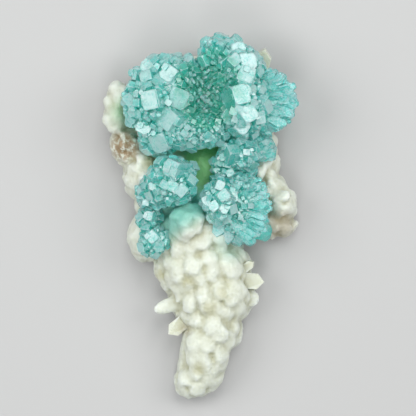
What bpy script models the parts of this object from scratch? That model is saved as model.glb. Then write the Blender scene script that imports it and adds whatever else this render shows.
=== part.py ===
"""An apophyllite cluster: green apophyllite druses grown on a cream stilbite matrix.

The specimen lies on its broken back, which is flat and rests on the XY plane.
+Z points away from the back, through the crystals, and +Y points from the tapered
stilbite tail to the big rosette. Lengths below are in millimetres.
"""

import math
import random

import bmesh
import bpy
from mathutils import Matrix, Vector, noise

MM = 0.001

# Driving dimensions
GAP = 0.55  # between a druse and what it grew on
BLADE_WIDTH = 4.6  # a stilbite blade across its face
BLADE_SPACING = 5.6
FAN_SHARE = 0.45  # of a fan crystal's ray that the crystal takes up
TAIL_STARTS = -8.0  # the matrix below this Y is the tail, which only has its stated lobes

# How the shapes are made
PYRAMID_SLOPE = 1.25  # rise of a crystal's pyramid faces against their run
LUMP_ROUGHNESS = 0.10  # of a lump's radius
LOBE_LIFT = 0.18  # how steeply a lobe's tip leaves the surface
MATRIX_VOXEL = 1.1
MATRIX_RELIEF = 0.8  # height of the matrix's own bumps
MATRIX_CORE_SHARE = 0.16  # of the voxel surface's faces that are kept
TRIANGLES = {
    "stilbite_matrix": 3400,
    "upper_rosette": 3700,
    "right_fan": 620,
    "lower_left_ball": 800,
    "lower_right_rosette": 1000,
    "small_left_ball": 440,
}


class Lump:
    """An ellipsoid of massive mineral. Pull is how far its crystals follow the druse's seed."""

    def __init__(self, x, y, z, rx, ry, rz, pull=0.6):
        self.centre = Vector((x, y, z))
        self.radii = Vector((rx, ry, rz))
        self.pull = pull

    def holds(self, point, margin=0.0):
        local = point - self.centre
        return sum((local[i] / max(self.radii[i] - margin, 0.1)) ** 2 for i in range(3)) < 1

    def normal(self, point):
        local = point - self.centre
        return Vector(local[i] / self.radii[i] ** 2 for i in range(3)).normalized()

    def surface(self, direction):
        """The point on the ellipsoid in a direction from its centre."""
        return self.centre + Vector(direction[i] * self.radii[i] for i in range(3))

    def top_at(self, x, y):
        """The upper surface over a place in plan, or near the lump's rim for a place outside it."""
        across = Vector(((x - self.centre.x) / self.radii.x, (y - self.centre.y) / self.radii.y))
        if across.length > 0.96:
            across *= 0.96 / across.length
        return self.surface(Vector((across.x, across.y, math.sqrt(1 - across.length_squared))))


def compass(azimuth, rise):
    """A direction from its bearing in plan and its rise above the plan, in degrees."""
    turn, lift = math.radians(azimuth), math.radians(rise)
    return Vector((math.cos(turn) * math.cos(lift), math.sin(turn) * math.cos(lift), math.sin(lift)))


def top_of(lumps, x, y):
    """The highest surface over a place in plan, and its lump."""
    tops = [(lump.top_at(x, y), lump) for lump in lumps]
    return max(tops, key=lambda pair: (-round((pair[0].xy - Vector((x, y))).length), pair[0].z))


SMOOTH_PLACES = [(1.6, 15.0, 9.0), (-3.8, -1.6, 6.0), (-25.0, 34.0, 7.0)]  # x, y and radius

# The cream stilbite matrix: plate, side lobes and the tail that tapers towards -Y
MATRIX = [
    Lump(-1.0, 34.0, 3.0, 22.0, 15.0, 9.0),
    Lump(-9.0, 26.0, 2.0, 16.0, 13.0, 8.0),
    Lump(6.0, 22.0, 2.0, 17.0, 15.0, 8.0),
    Lump(-0.5, 8.0, 3.0, 19.0, 15.0, 11.0),
    Lump(8.0, 3.0, 2.0, 16.0, 9.0, 9.0),
    Lump(-24.8, 36.0, 6.0, 4.2, 5.6, 9.4),
    Lump(-25.4, 31.0, 6.0, 4.4, 6.0, 9.8),
    Lump(-22.0, 22.5, 4.5, 4.2, 6.2, 8.5),
    Lump(-17.4, 14.0, 5.0, 5.4, 8.4, 10.0),
    Lump(-16.6, -6.0, 4.0, 4.6, 6.6, 9.0),
    Lump(19.0, 15.0, 5.5, 4.2, 4.2, 8.0),
    Lump(21.0, 8.0, 4.5, 4.8, 5.4, 8.0),
    Lump(25.0, 4.4, 5.0, 3.8, 5.0, 9.0),
    Lump(23.4, -1.6, 3.5, 5.0, 4.0, 6.5),
    Lump(-1.0, -6.0, 5.0, 14.0, 10.5, 13.0),
    Lump(0.8, -15.0, 5.5, 14.0, 11.0, 12.0),
    Lump(3.2, -23.5, 5.5, 12.4, 11.0, 11.0),
    Lump(3.6, -31.5, 5.0, 8.8, 11.0, 10.0),
    Lump(1.6, -39.5, 5.0, 7.0, 10.0, 8.6),
    Lump(0.0, -46.0, 4.5, 6.0, 7.0, 7.0),
    Lump(-2.0, -50.2, 4.0, 4.6, 4.4, 5.6),
    Lump(-3.8, -1.6, 16.5, 5.8, 5.6, 8.0),
    Lump(1.6, 14.6, 7.0, 10.5, 8.6, 7.6),
]

# Stilbite blades that stand out singly: foot, tip and width
STATED_BLADES = [
    ((-3.0, -24.8, 8.0), (-14.4, -29.0, 9.5), 5.0),
    ((-2.0, -29.6, 8.0), (-9.8, -36.0, 8.5), 4.4),
    ((8.0, -19.0, 9.0), (19.8, -19.9, 9.5), 4.8),
    ((12.0, -17.0, 10.0), (16.4, -13.6, 12.0), 2.6),
    ((16.6, 39.0, 9.0), (19.8, 51.4, 12.5), 5.4),
]

# Round-ended blades that lie on the matrix: x, y, width, length and compass direction
STATED_LOBES = [
    (-13.4, -16.5, 3.4, 6.0, -80),
    (-11.6, -20.6, 4.2, 6.0, -75),
    (-8.1, -20.5, 4.6, 9.4, -64),
    (-9.6, -13.5, 4.6, 5.0, -60),
    (-3.3, -26.6, 4.8, 6.0, -100),
    (-1.5, -31.2, 4.8, 5.4, -80),
    (-1.5, -37.6, 6.0, 8.0, -95),
    (-5.0, -40.0, 3.6, 6.0, -110),
    (5.2, -34.9, 6.0, 8.4, -40),
    (7.4, -29.4, 4.8, 6.6, -30),
    (6.2, -41.2, 6.2, 7.6, -60),
    (-2.2, -43.0, 5.6, 6.0, -100),
    (4.6, -46.2, 5.0, 6.4, -50),
    (-4.2, -49.0, 5.6, 6.6, -120),
    (-0.8, -52.4, 5.4, 5.6, -90),
    (16.4, -25.0, 3.8, 6.0, -60),
    (13.2, -29.2, 3.6, 4.6, -50),
    (11.0, -34.4, 3.6, 4.6, -50),
    (13.0, -11.4, 3.6, 4.0, -20),
    (0.7, -22.4, 4.0, 9.0, -86),
    (5.8, -21.3, 4.0, 9.0, -84),
    (-2.2, -14.8, 6.2, 6.2, -100),
    (2.9, -12.4, 5.2, 5.4, -80),
    (9.4, -15.0, 6.6, 9.0, -50),
    (11.4, -21.6, 6.0, 8.0, -40),
]


class Druse:
    """One apophyllite cluster: massive cores under crystals that radiate from a seed."""

    def __init__(self, name, seed, cores, big, width, length, spacing,
                 bowls=(), fans=(), slabs=()):
        self.name = name
        self.seed = Vector(seed)
        self.cores = [Lump(*core) for core in cores]
        self.bowls = [Lump(*bowl) for bowl in bowls]
        self.chance = random.Random(name)
        self.crystals = []
        self.plant_big(big)
        self.plant_slabs(slabs)
        for fan in fans:
            self.plant_fan(**fan)
        self.plant_rest(width, length, spacing)

    def note(self, point, foot, way, width, length, bluntness):
        self.crystals.append((point, foot, way, width, length, bluntness, self.chance.random()))

    def plant(self, point, normal, width, length, pull, bluntness):
        """One crystal that stands on a point of the surface."""
        ray = (point - self.seed).normalized()
        wobble = Vector(self.chance.uniform(-1, 1) for _ in range(3)) * 0.13
        way = (ray * pull + normal * (1 - pull) + wobble).normalized()
        self.note(point, point - way * length * 0.5, way, width, length, bluntness)

    def plant_big(self, places):
        """Large blocky crystals, each over a stated place in plan: x, y and width."""
        for x, y, width in places:
            point, core = top_of(self.cores, x, y)
            self.plant(point, core.normal(point), width, width * 1.9, 0.8, 0.35)

    def plant_slabs(self, slabs):
        """Single long crystals from a stated foot to a stated tip."""
        for foot, tip, width in slabs:
            run = Vector(tip) - Vector(foot)
            self.note(Vector(tip), Vector(foot), run.normalized(), width, run.length, 0.8)

    def plant_fan(self, seed, azimuths, rises, reach, falloff, width, rows, count):
        """Long crystals from one seed between two azimuths, the outermost shorter by the falloff."""
        for row in range(rows):
            rise = rises[0] + (rises[1] - rises[0]) * row / max(rows - 1, 1)
            for place in range(count):
                spread = (place + self.chance.uniform(-0.2, 0.2) + 0.5 * (row % 2)) / count
                azimuth = azimuths[0] + (azimuths[1] - azimuths[0]) * spread
                way = compass(azimuth, rise + self.chance.uniform(-3, 3))
                run = reach * (1 - falloff * (2 * spread - 1) ** 2) * self.chance.uniform(0.92, 1.04)
                tip = Vector(seed) + way * run
                length = run * FAN_SHARE
                size = width * self.chance.uniform(0.9, 1.1)
                self.note(tip, tip - way * length, way, size, length, 0.8)

    def plant_rest(self, width, length, spacing):
        """Crystals over the rest of the open surface, no closer than the spacing."""
        for lump in self.bowls + self.cores:
            if lump.pull == 0:
                continue
            hollow = lump in self.bowls
            apart = spacing * 1.25 if hollow else spacing
            for _ in range(700):
                direction = Vector(self.chance.gauss(0, 1) for _ in range(3)).normalized()
                point = lump.surface(direction)
                if point.z < 5 or not self.shows(point, lump):
                    continue
                if min((gap_to(point, crystal, width) for crystal in self.crystals), default=99) < apart:
                    continue
                size = self.chance.uniform(0.85, 1.15)
                if hollow:
                    self.plant(point, -lump.normal(point), width * size, length * 0.5, 0.4, 0.6)
                else:
                    self.plant(point, lump.normal(point), width * size, length * size, lump.pull, 0.5)

    def shows(self, point, lump):
        """Whether a place on one lump is open to the air."""
        if lump in self.bowls:
            return any(core.holds(point, 0.4) for core in self.cores)
        buried = any(core.holds(point, 0.4) for core in self.cores if core is not lump)
        hollowed = any(bowl.holds(point, -0.6) for bowl in self.bowls)
        in_matrix = any(part.holds(point, 0.3) for part in MATRIX)
        return not (buried or hollowed or in_matrix)


def gap_to(point, crystal, width):
    """The distance to a planted crystal, less what it is wider than a common one."""
    return (point - crystal[0]).length - max(crystal[3] - width, 0) * 0.5


ROSETTE = Druse(
    "upper_rosette",
    seed=(1.0, 36.0, -12.0),
    cores=[
        (-13.2, 35.0, 19.0, 8.8, 8.6, 9.5, 0.65),
        (-9.5, 42.6, 17.5, 8.0, 5.2, 8.0, 0.45),
        (-3.0, 27.4, 18.0, 12.0, 4.6, 8.0, 0.5),
        (-12.6, 24.6, 16.0, 4.8, 4.4, 7.5, 0.5),
        (13.6, 34.0, 19.0, 5.8, 9.0, 11.0, 0.65),
        (12.4, 44.0, 18.0, 5.6, 6.4, 9.6, 0.5),
        (6.2, 49.6, 15.5, 5.2, 4.2, 8.5, 0.3),
        (18.6, 35.2, 12.5, 6.4, 8.0, 7.0, 0),
        (1.5, 38.0, 12.0, 14.0, 12.0, 9.6, 0.6),
    ],
    bowls=[(2.4, 39.2, 27.5, 8.6, 12.0, 9.5)],
    big=[
        (-21.0, 35.5, 4.1),
        (-15.2, 35.0, 5.8),
        (-6.5, 35.5, 6.0),
        (-10.1, 29.5, 6.2),
        (-6.5, 31.2, 3.6),
        (-17.1, 27.5, 4.6),
        (-12.5, 22.0, 6.0),
        (-12.5, 41.3, 4.2),
        (-17.8, 40.1, 3.6),
        (-15.7, 45.2, 4.4),
        (-9.6, 43.3, 4.8),
        (-10.8, 47.6, 4.0),
        (-7.0, 47.1, 3.2),
        (-20.5, 43.4, 3.0),
        (-9.4, 39.4, 3.2),
        (-3.6, 48.0, 2.6),
        (-3.8, 31.2, 2.6),
        (1.8, 53.2, 3.4),
        (5.7, 53.4, 3.8),
        (8.6, 52.3, 3.4),
        (11.7, 50.4, 4.8),
        (14.9, 46.7, 4.8),
        (13.9, 42.6, 5.0),
        (12.5, 36.8, 6.0),
        (16.1, 38.4, 3.0),
        (16.3, 33.8, 2.6),
        (14.9, 30.9, 5.2),
        (8.8, 30.4, 4.0),
        (12.7, 25.4, 4.8),
        (11.5, 28.3, 3.0),
    ],
    fans=[{
        "seed": (9.5, 36.0, 20.0),
        "azimuths": (-46, 36),
        "rises": (-36, 0),
        "reach": 20.0,
        "falloff": 0.24,
        "width": 3.5,
        "rows": 3,
        "count": 8,
    }],
    width=4.0,
    length=6.4,
    spacing=4.2,
)

RIGHT_FAN = Druse(
    "right_fan",
    seed=(4.0, 10.0, 8.0),
    cores=[(12.0, 19.4, 15.0, 5.6, 4.6, 7.5), (17.6, 20.4, 11.0, 4.6, 3.4, 5.0, 0)],
    big=[(10.4, 20.6, 4.0)],
    slabs=[
        ((10.0, 21.6, 13.0), (23.3, 20.0, 13.5), 6.4),
        ((11.0, 24.0, 12.0), (22.0, 24.4, 12.0), 5.0),
        ((8.0, 14.0, 14.0), (17.6, 14.6, 14.0), 4.6),
    ],
    fans=[{
        "seed": (7.0, 17.0, 16.0),
        "azimuths": (-16, 32),
        "rises": (-26, 4),
        "reach": 15.8,
        "falloff": 0.05,
        "width": 3.6,
        "rows": 2,
        "count": 4,
    }],
    width=3.8,
    length=5.6,
    spacing=3.9,
)

LEFT_BALL = Druse(
    "lower_left_ball",
    seed=(-8.6, 10.0, 12.0),
    cores=[(-8.2, 10.8, 19.5, 6.4, 6.6, 7.4), (-13.8, 7.4, 14.5, 4.8, 4.2, 6.2)],
    big=[(-8.9, 14.6, 5.2), (-5.5, 8.0, 3.7), (-3.4, 14.4, 3.0), (-8.2, 9.2, 3.2), (-12.0, 11.0, 3.0)],
    width=3.5,
    length=5.2,
    spacing=3.6,
)

RIGHT_ROSETTE = Druse(
    "lower_right_rosette",
    seed=(5.0, 0.0, 6.0),
    cores=[(11.6, 2.6, 14.0, 7.4, 8.0, 7.5, 0), (6.4, 5.0, 18.5, 4.6, 6.2, 8.0, 0.7)],
    big=[(4.6, 3.4, 3.4), (7.2, 6.6, 3.8), (8.6, 9.8, 3.2)],
    slabs=[
        ((9.0, -1.6, 12.0), (21.7, -5.2, 11.0), 5.4),
        ((7.0, -3.0, 12.0), (17.0, -7.2, 10.0), 4.8),
        ((5.6, -2.6, 12.0), (11.6, -8.6, 10.0), 4.6),
    ],
    fans=[{
        "seed": (4.6, 3.0, 19.0),
        "azimuths": (-44, 38),
        "rises": (-38, 2),
        "reach": 16.6,
        "falloff": 0.05,
        "width": 3.2,
        "rows": 3,
        "count": 8,
    }],
    width=3.7,
    length=5.6,
    spacing=3.8,
)

SMALL_BALL = Druse(
    "small_left_ball",
    seed=(-13.0, -6.0, 8.0),
    cores=[(-13.8, -7.0, 13.5, 4.0, 3.8, 5.4), (-15.2, 0.0, 12.0, 3.0, 3.2, 5.0)],
    big=[(-14.6, -6.0, 3.4), (-12.4, -9.0, 3.0)],
    width=2.9,
    length=4.4,
    spacing=3.0,
)

DRUSES = [ROSETTE, RIGHT_FAN, LEFT_BALL, RIGHT_ROSETTE, SMALL_BALL]


def is_smooth(point):
    """Whether a point lies in the tail, the valley, the pale ball or the flange."""
    in_tail = point.y < TAIL_STARTS
    return in_tail or any((point.xy - Vector((x, y))).length < radius for x, y, radius in SMOOTH_PLACES)


def scattered_blades():
    """Blades over the open surface of the matrix: foot, direction, width and length."""
    chance = random.Random("stilbite")
    stood, blades = [], []
    for lump in MATRIX:
        for _ in range(500):
            direction = Vector(chance.gauss(0, 1) for _ in range(3)).normalized()
            point = lump.surface(direction)
            buried = any(part.holds(point, 0.5) for part in MATRIX if part is not lump)
            covered = any(core.holds(point, -3.0) for druse in DRUSES for core in druse.cores)
            crowded = any((point - other).length < BLADE_SPACING for other in stood)
            if point.z < 3.0 or buried or covered or crowded or is_smooth(point):
                continue
            stood.append(point)
            wobble = Vector(chance.uniform(-1, 1) for _ in range(3)) * 0.3
            way = lump.normal(point) + wobble
            way.z = max(way.z, 0.0)
            way.normalize()
            width = BLADE_WIDTH * chance.uniform(0.75, 1.15)
            blades.append((point - way * 3.4, way, width, 5.4 * chance.uniform(0.85, 1.15)))
    return blades


def clear_scene():
    for thing in list(bpy.data.objects):
        bpy.data.objects.remove(thing, do_unlink=True)


def collection(name):
    made = bpy.data.collections.new(name)
    bpy.context.scene.collection.children.link(made)
    return made


def material(name, colour, roughness):
    made = bpy.data.materials.get(name)
    if made is None:
        made = bpy.data.materials.new(name)
        made.use_nodes = True
        shader = made.node_tree.nodes["Principled BSDF"]
        shader.inputs["Base Color"].default_value = (*colour, 1.0)
        shader.inputs["Roughness"].default_value = roughness
        shader.inputs["Metallic"].default_value = 0.0
    return made


def new_object(name, bm, home):
    mesh = bpy.data.meshes.new(name)
    bm.to_mesh(mesh)
    bm.free()
    made = bpy.data.objects.new(name, mesh)
    home.objects.link(made)
    return made


def cutter(name, bm):
    """A helper that only joins to or cuts from the pieces."""
    made = new_object(name, bm, HELPERS)
    made.hide_render = True
    made.display_type = "WIRE"
    return made


def add_lump(bm, lump, grow=0.0, faces=2):
    ball = bmesh.ops.create_icosphere(bm, subdivisions=faces, radius=1.0)["verts"]
    for vert in ball:
        direction = vert.co.normalized()
        uneven = 1 + LUMP_ROUGHNESS * noise.noise(direction * 1.7 + lump.centre * 0.31)
        reach = lump.radii * uneven + Vector((grow, grow, grow))
        vert.co = (lump.centre + Vector(direction[i] * reach[i] for i in range(3))) * MM


def add_lobe(bm, x, y, width, length, azimuth):
    """A round-ended blade that lies on the matrix and points along its surface."""
    point, lump = top_of(MATRIX, x, y)
    normal = lump.normal(point)
    way = compass(azimuth, 0.0)
    way = (way - normal * way.dot(normal)).normalized()
    way = (way + normal * LOBE_LIFT).normalized()
    side = normal.cross(way).normalized()
    axes = Matrix((side * width / 2, way.cross(side) * width * 0.3, way * length / 2)).transposed()
    for vert in bmesh.ops.create_icosphere(bm, subdivisions=3, radius=1.0)["verts"]:
        vert.co = (point + axes @ vert.co) * MM


def add_prism(bm, half_x, half_y, length, cuts, place, grow=0.0):
    """A block from its foot up +Z, cut by (normal, distance) planes and moved to its place."""
    block = bmesh.new()
    bmesh.ops.create_cube(block, size=2.0)
    size = Vector((half_x + grow, half_y + grow, length / 2 + grow))
    bmesh.ops.scale(block, vec=size, verts=block.verts)
    bmesh.ops.translate(block, vec=(0, 0, length / 2), verts=block.verts)
    for normal, distance in cuts:
        everything = block.verts[:] + block.edges[:] + block.faces[:]
        where = normal * (distance + grow)
        cut = bmesh.ops.bisect_plane(block, geom=everything, plane_co=where, plane_no=normal, clear_outer=True)
        rim = [edge for edge in cut["geom_cut"] if isinstance(edge, bmesh.types.BMEdge)]
        if rim:
            bmesh.ops.contextual_create(block, geom=rim)
    bmesh.ops.recalc_face_normals(block, faces=block.faces)
    bmesh.ops.transform(block, matrix=Matrix.Scale(MM, 4) @ place, verts=block.verts)
    piece = bpy.data.meshes.new("prism")
    block.to_mesh(piece)
    block.free()
    bm.from_mesh(piece)
    bpy.data.meshes.remove(piece)


def standing(foot, way, spin):
    """The place of a crystal whose foot is at a point and whose axis runs one way."""
    turn = way.to_track_quat("Z", "Y").to_matrix().to_4x4()
    return Matrix.Translation(foot) @ turn @ Matrix.Rotation(spin, 4, "Z")


def add_apophyllite(bm, crystal, grow=0.0):
    """A square prism with a flat top, whose corners four pyramid faces cut."""
    _, foot, way, width, length, bluntness, luck = crystal
    chance = random.Random(luck)
    half = width / 2
    cuts = []
    for quarter in range(4):
        angle = math.radians(45 + 90 * quarter)
        normal = Vector((math.cos(angle), math.sin(angle), 1 / PYRAMID_SLOPE)).normalized()
        corner = Vector((math.copysign(half, normal.x), math.copysign(half, normal.y), length))
        depth = half * bluntness * chance.uniform(0.75, 1.25)
        cuts.append((normal, normal.dot(corner) - depth))
    narrow = half * chance.uniform(0.85, 1.0)
    add_prism(bm, half, narrow, length, cuts, standing(foot, way, chance.uniform(0, math.tau)), grow)


def add_stilbite(bm, foot, way, width, length, luck, grow=0.0, spin=None):
    """A flat blade with a blunt gable at its tip and chamfered faces."""
    chance = random.Random(luck)
    half, thick = width / 2, width * chance.uniform(0.2, 0.3)
    gable = chance.uniform(0.65, 1.05)
    cuts = []
    for side in (-1, 1):
        slope = Vector((side * gable, 0, 1)).normalized()
        cuts.append((slope, slope.z * length + abs(slope.x) * half * 0.12))
        bevel = Vector((0, side * 1.6, 1)).normalized()
        cuts.append((bevel, bevel.z * length + abs(bevel.y) * thick * 0.35))
    spin = chance.uniform(0, math.pi) if spin is None else spin
    add_prism(bm, half, thick, length, cuts, standing(foot, way, spin), grow)


def evaluated_mesh(thing):
    bpy.context.view_layer.update()
    graph = bpy.context.evaluated_depsgraph_get()
    return bpy.data.meshes.new_from_object(thing.evaluated_get(graph))


def apply_modifiers(body):
    result = evaluated_mesh(body)
    body.modifiers.clear()
    old, body.data = body.data, result
    bpy.data.meshes.remove(old)


def combine(body, operation, other):
    """One Boolean step, applied. Overlapping shells in either object count as one solid."""
    step = body.modifiers.new("step", "BOOLEAN")
    step.operation = operation
    step.solver = "EXACT"
    step.use_self = True
    step.object = other
    apply_modifiers(body)
    bpy.data.objects.remove(other, do_unlink=True)


def islands(bm):
    """The groups of vertices that edges join."""
    found, seen = [], set()
    for start in bm.verts:
        if start in seen:
            continue
        seen.add(start)
        group, front = [start], [start]
        while front:
            for edge in front.pop().link_edges:
                for vert in edge.verts:
                    if vert not in seen:
                        seen.add(vert)
                        group.append(vert)
                        front.append(vert)
        found.append(group)
    return found


def keep_outer_shell(body):
    """Drops the sealed pockets between crystals, and chips that a cut left loose."""
    bm = bmesh.new()
    bm.from_mesh(body.data)
    bmesh.ops.remove_doubles(bm, verts=bm.verts, dist=0.005 * MM)
    groups = islands(bm)
    biggest = max(groups, key=len)
    for group in groups:
        if group is not biggest:
            bmesh.ops.delete(bm, geom=group, context="VERTS")
    bmesh.ops.triangulate(bm, faces=bm.faces)
    bm.to_mesh(body.data)
    bm.free()


def thin_out(body, triangles):
    """Collapses the slivers along the seams, down to about a number of triangles."""
    step = body.modifiers.new("thin", "DECIMATE")
    step.ratio = min(1.0, triangles / len(body.data.polygons))
    apply_modifiers(body)


def build_matrix_core():
    """The massive stilbite: lumps run together, roughened and thinned to a few faces."""
    bm = bmesh.new()
    for lump in MATRIX:
        add_lump(bm, lump, faces=3)
    for lobe in STATED_LOBES:
        add_lobe(bm, *lobe)
    body = cutter("matrix_core", bm)
    blend = body.modifiers.new("blend", "REMESH")
    blend.mode = "VOXEL"
    blend.voxel_size = MATRIX_VOXEL * MM
    soften = body.modifiers.new("soften", "SMOOTH")
    soften.iterations = 6
    apply_modifiers(body)
    normals = [vert.normal.copy() for vert in body.data.vertices]
    for vert, normal in zip(body.data.vertices, normals):
        place = vert.co / MM
        bump = noise.noise(place * 0.22) + 0.5 * noise.noise(place * 0.5)
        vert.co += normal * bump * MATRIX_RELIEF * MM
    few = body.modifiers.new("few", "DECIMATE")
    few.ratio = MATRIX_CORE_SHARE
    apply_modifiers(body)
    core = body.data
    bpy.data.objects.remove(body, do_unlink=True)
    return core


def build_matrix_body(core, grow):
    """The core and its blades as one solid, every face moved out by grow."""
    bm = bmesh.new()
    bm.from_mesh(core)
    bm.normal_update()
    for vert, normal in [(vert, vert.normal.copy()) for vert in bm.verts]:
        vert.co += normal * grow * MM
    body = cutter("matrix_body", bm)
    bm = bmesh.new()
    for index, (foot, tip, width) in enumerate(STATED_BLADES):
        run = Vector(tip) - Vector(foot)
        add_stilbite(bm, Vector(foot), run.normalized(), width, run.length, index, grow, spin=0.0)
    for index, (foot, way, width, length) in enumerate(scattered_blades()):
        add_stilbite(bm, foot, way, width, length, 100 + index, grow)
    combine(body, "UNION", cutter("blades", bm))
    return body


def raw_druse(druse, grow=0.0):
    """Cores less the bowl, and crystals, as one solid, every face moved out by grow."""
    bm = bmesh.new()
    for core in druse.cores:
        add_lump(bm, core, grow)
    body = cutter(druse.name + "_core", bm)
    if druse.bowls:
        bm = bmesh.new()
        for bowl in druse.bowls:
            add_lump(bm, bowl, -grow)
        combine(body, "DIFFERENCE", cutter("bowl", bm))
    bm = bmesh.new()
    for crystal in druse.crystals:
        add_apophyllite(bm, crystal, grow)
    combine(body, "UNION", cutter("crystals", bm))
    return body


def finish_piece(body, name, finish):
    HELPERS.objects.unlink(body)
    PIECES.objects.link(body)
    body.name = body.data.name = name
    body.hide_render = False
    body.display_type = "TEXTURED"
    body.data.materials.clear()
    body.data.materials.append(finish)


def build_matrix(core):
    """The matrix, thinned out first so that its cut back stays truly flat."""
    body = build_matrix_body(core, 0.0)
    keep_outer_shell(body)
    thin_out(body, TRIANGLES["stilbite_matrix"])
    bm = bmesh.new()
    bmesh.ops.create_cube(bm, size=1.0)
    bmesh.ops.scale(bm, vec=(0.3, 0.3, 0.1), verts=bm.verts)
    bmesh.ops.translate(bm, vec=(0, 0, -0.05), verts=bm.verts)
    combine(body, "DIFFERENCE", cutter("under_the_back", bm))
    keep_outer_shell(body)
    finish_piece(body, "stilbite_matrix", material("stilbite", (0.86, 0.88, 0.78), 0.45))


def build_druse(druse, core, neighbours):
    """A raw druse, less the matrix and the druses that it grew against."""
    body = raw_druse(druse)
    combine(body, "DIFFERENCE", build_matrix_body(core, GAP))
    for neighbour in neighbours:
        combine(body, "DIFFERENCE", raw_druse(neighbour, GAP))
    keep_outer_shell(body)
    thin_out(body, TRIANGLES[druse.name])
    finish_piece(body, druse.name, material("apophyllite", (0.42, 0.78, 0.68), 0.15))


def centre_on_origin():
    """Moves every piece so that the box around them all is centred in plan."""
    corners = [vert.co for piece in PIECES.objects for vert in piece.data.vertices]
    middle = [(min(co[i] for co in corners) + max(co[i] for co in corners)) / 2 for i in range(2)]
    floor = min(co.z for co in corners)
    for piece in PIECES.objects:
        piece.data.transform(Matrix.Translation((-middle[0], -middle[1], -floor)))


clear_scene()
PIECES = collection("apophyllite_cluster")
HELPERS = collection("helpers")
MATRIX_CORE = build_matrix_core()
build_matrix(MATRIX_CORE)
build_druse(ROSETTE, MATRIX_CORE, [])
build_druse(RIGHT_FAN, MATRIX_CORE, [ROSETTE])
build_druse(LEFT_BALL, MATRIX_CORE, [ROSETTE])
build_druse(RIGHT_ROSETTE, MATRIX_CORE, [RIGHT_FAN, LEFT_BALL])
build_druse(SMALL_BALL, MATRIX_CORE, [LEFT_BALL])
centre_on_origin()
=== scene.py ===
# %% [markdown]
# # An apophyllite cluster
# Green apophyllite grew as rosettes of blocky crystals on cream stilbite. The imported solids
# give its size and its main masses. This lesson plants the crystals again, finer and sharper,
# and gives both minerals their look.

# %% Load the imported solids
import math
import random
from collections import namedtuple

import bmesh
import bpy
import numpy as np
from mathutils import Matrix, Vector, noise


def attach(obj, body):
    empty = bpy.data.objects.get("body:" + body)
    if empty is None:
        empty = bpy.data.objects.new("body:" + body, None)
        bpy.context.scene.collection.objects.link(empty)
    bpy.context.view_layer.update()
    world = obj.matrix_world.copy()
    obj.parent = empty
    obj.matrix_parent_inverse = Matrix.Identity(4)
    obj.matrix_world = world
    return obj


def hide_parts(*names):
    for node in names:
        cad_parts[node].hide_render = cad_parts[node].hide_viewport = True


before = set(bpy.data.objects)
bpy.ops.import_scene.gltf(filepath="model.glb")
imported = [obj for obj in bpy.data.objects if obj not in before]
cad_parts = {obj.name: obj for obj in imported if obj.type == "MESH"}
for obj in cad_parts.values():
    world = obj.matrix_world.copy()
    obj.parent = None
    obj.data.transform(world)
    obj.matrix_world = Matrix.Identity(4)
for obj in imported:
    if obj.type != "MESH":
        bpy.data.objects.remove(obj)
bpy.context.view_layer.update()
MM = 0.001
SHIFT = Vector((-0.06, -1.22, 0.0))  # from the drawing's origin to the middle of the solids' box
print("solids:", sorted(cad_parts))

# %% [markdown]
# The specimen lies on its back and the camera looks straight down on it, from far enough away
# that the crystals on top aren't much enlarged.

# %% Camera
VIEW_WIDTH = 0.1265  # across the picture at half the specimen's height, in metres
CAMERA_DISTANCE = 0.9
VIEW_MIDDLE = Vector((2.43, 2.74, 15.0))  # in the drawing, in millimetres

lens = bpy.data.cameras.new("camera")
lens.sensor_width = 36.0
lens.lens = lens.sensor_width * CAMERA_DISTANCE / VIEW_WIDTH
lens.clip_start = 0.1
camera = bpy.data.objects.new("camera", lens)
camera.location = (VIEW_MIDDLE + SHIFT) * MM + Vector((0, 0, CAMERA_DISTANCE))
bpy.context.scene.collection.objects.link(camera)
bpy.context.scene.camera = camera
print("focal length", round(lens.lens), "mm")

# %% [markdown]
# The floor is a plain pale sheet. A flat crystal top flashes when it mirrors a light to the eye,
# and the tops lean to the left and to the right here. So a soft light stands at each side, about
# 45 degrees up, and two weaker ones fill in from above and below. Square area lights were chosen,
# because small crystals mirror them as soft, even patches.

# %% Floor and lights
FLOOR_SIZE = 3.0
LIGHTS_AIM = Vector((0, 0.01, 0.015))
LIGHT_DISTANCE = 0.6
LEFT_LIGHT = (165, 48)  # azimuth and elevation, in degrees
RIGHT_LIGHT = (20, 46)
SOFTBOXES = [
    ("left_softbox", LEFT_LIGHT, 0.36, 2.0),
    ("right_softbox", RIGHT_LIGHT, 0.32, 1.7),
    ("top_softbox", (80, 62), 0.26, 1.2),
    ("bottom_softbox", (262, 58), 0.24, 1.0),
]


def towards(azimuth, elevation):
    """The direction of an azimuth and an elevation, in degrees."""
    turn, rise = math.radians(azimuth), math.radians(elevation)
    return Vector((math.cos(turn) * math.cos(rise), math.sin(turn) * math.cos(rise), math.sin(rise)))


def add_floor():
    bm = bmesh.new()
    bmesh.ops.create_grid(bm, x_segments=1, y_segments=1, size=FLOOR_SIZE / 2)
    mesh = bpy.data.meshes.new("floor")
    bm.to_mesh(mesh)
    bm.free()
    floor = bpy.data.objects.new("floor", mesh)
    bpy.context.scene.collection.objects.link(floor)
    return floor


def add_softbox(name, way, size, power):
    """A square light that faces the specimen from a direction."""
    light = bpy.data.lights.new(name, "AREA")
    light.size = size
    light.energy = power
    lamp = bpy.data.objects.new(name, light)
    lamp.location = LIGHTS_AIM + way * LIGHT_DISTANCE
    lamp.rotation_euler = way.to_track_quat("Z", "Y").to_euler()
    bpy.context.scene.collection.objects.link(lamp)


floor = add_floor()
for name, place, size, power in SOFTBOXES:
    add_softbox(name, towards(*place), size, power)
print(len(SOFTBOXES), "softboxes")

# %% [markdown]
# A pale, slightly blue surround lights the shadows. The Standard view keeps the colours as they
# are set.

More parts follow.
